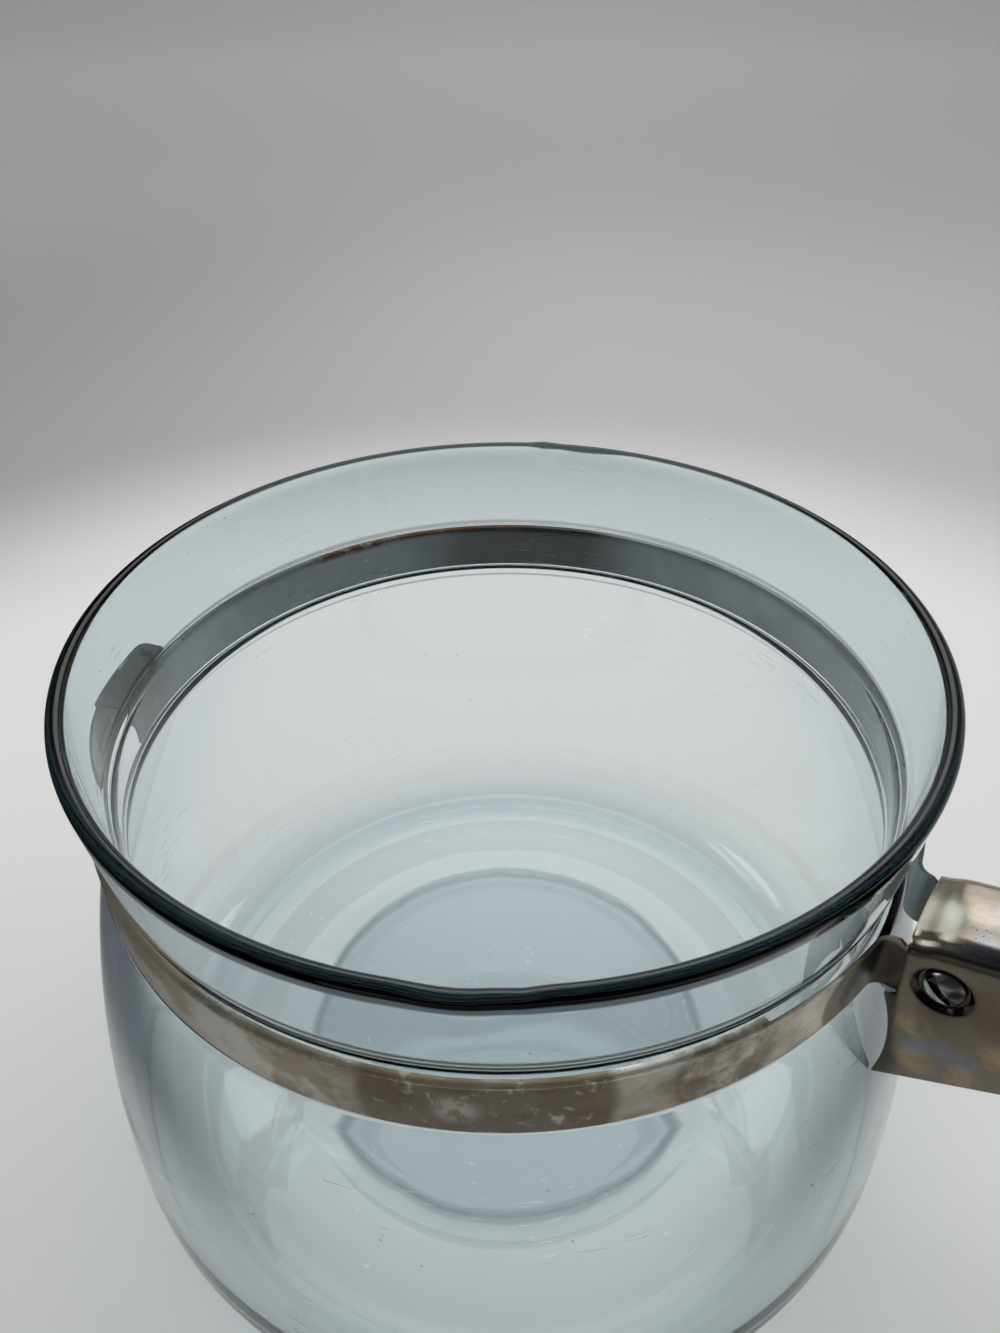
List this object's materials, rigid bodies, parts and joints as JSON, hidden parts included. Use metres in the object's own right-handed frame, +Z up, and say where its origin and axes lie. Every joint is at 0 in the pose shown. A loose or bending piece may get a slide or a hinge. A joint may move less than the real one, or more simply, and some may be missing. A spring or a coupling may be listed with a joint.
{
  "type": "double boiler lower vessel",
  "caption": "Clear glass stovetop vessel with a flared collar and swelling body; a steel strap in its groove is clamped by a screw inside a stamped channel handle.",
  "frame": {"origin": "middle of the flat underside of the glass vessel", "axes": "+Z up along the vessel's axis, +X out along the handle, +Y to the side that carries the nut"},
  "size_m": [0.3362, 0.2006, 0.1543],
  "materials": {
    "vessel_glass": "clear, polished, faintly blue-grey, with fine wear scratches",
    "strap_steel": "dull rolled stainless strip with brown stains and rust spots",
    "handle_steel": "satin stamped sheet, pitted, with tan and blue heat tints",
    "screw_steel": "worn plating, rust in the slot",
    "nut_steel": "worn plating"
  },
  "bodies": {
    "vessel": {"glass_vessel": "vessel_glass", "front_strap": "strap_steel", "rear_strap": "strap_steel", "handle_shell": "handle_steel"},
    "screw": {"clamp_screw": "screw_steel"},
    "nut": {"clamp_nut": "nut_steel"}
  },
  "joints": [
    {"name": "screw_turn", "type": "hinge", "parent": "vessel", "child": "screw", "pos_m": [0.0998, 0, 0.1088], "axis": [0, -1, 0], "range_deg": [0, 618]},
    {"name": "nut_travel", "type": "slide", "parent": "vessel", "child": "nut", "axis": [0, 1, 0], "range_m": [0, 0.0012]}
  ],
  "couplings": [
    {"joint": "screw_turn", "follows": "nut_travel", "rad_per_m": 8976}
  ]
}
